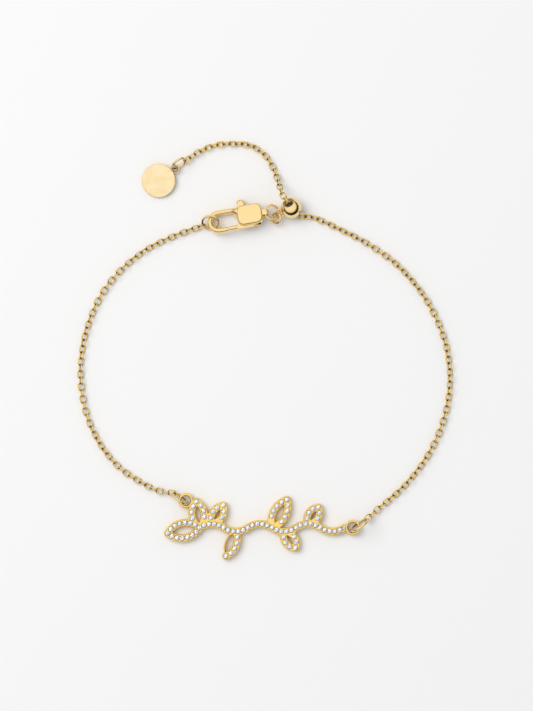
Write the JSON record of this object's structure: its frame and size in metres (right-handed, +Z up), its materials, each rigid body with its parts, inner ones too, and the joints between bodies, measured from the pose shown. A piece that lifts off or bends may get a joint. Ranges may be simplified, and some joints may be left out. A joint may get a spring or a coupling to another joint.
{
  "type": "nameplate bracelet",
  "caption": "Closed cable-chain bracelet lying flat, with a stone-set openwork front plate, a lobster clasp, a slider bead and a tail chain ending in a round tag.",
  "frame": {"origin": "middle of the bracelet's outline, on the surface it lies on", "axes": "+Z up from the surface, +Y from the front plate across the wrist hollow to the clasp and tail, +X towards the plate's right end"},
  "size_m": [0.0638, 0.0712, 0.004],
  "materials": {
    "gold": "polished gold plating",
    "satin_gold": "satin gold plating",
    "clear_stone": "cut and polished",
    "liner": "soft matte"
  },
  "bodies": {
    "bracelet": {"plate": "gold", "stones": "clear_stone", "left_plate_ring": "gold", "right_plate_ring": "gold", "left_chain": "gold", "right_chain": "gold", "tail_chain": "gold", "clasp_body": "gold", "clasp_ring": "gold", "clasp_tail_ring": "gold", "link_ring": "gold", "slider_bead": "gold", "bead_liner": "liner", "tag_ring": "gold", "tag": "satin_gold"},
    "lever": {"clasp_lever": "gold"}
  },
  "joints": [
    {"name": "clasp_gate", "type": "hinge", "parent": "bracelet", "child": "lever", "pos_m": [-0.00204, 0.02229, 0.00196], "axis": [0.1262, -0.2579, -0.9579], "range_deg": [0, 20], "stiffness_Nm_per_rad": 0.0015, "springref_deg": -28.65}
  ]
}
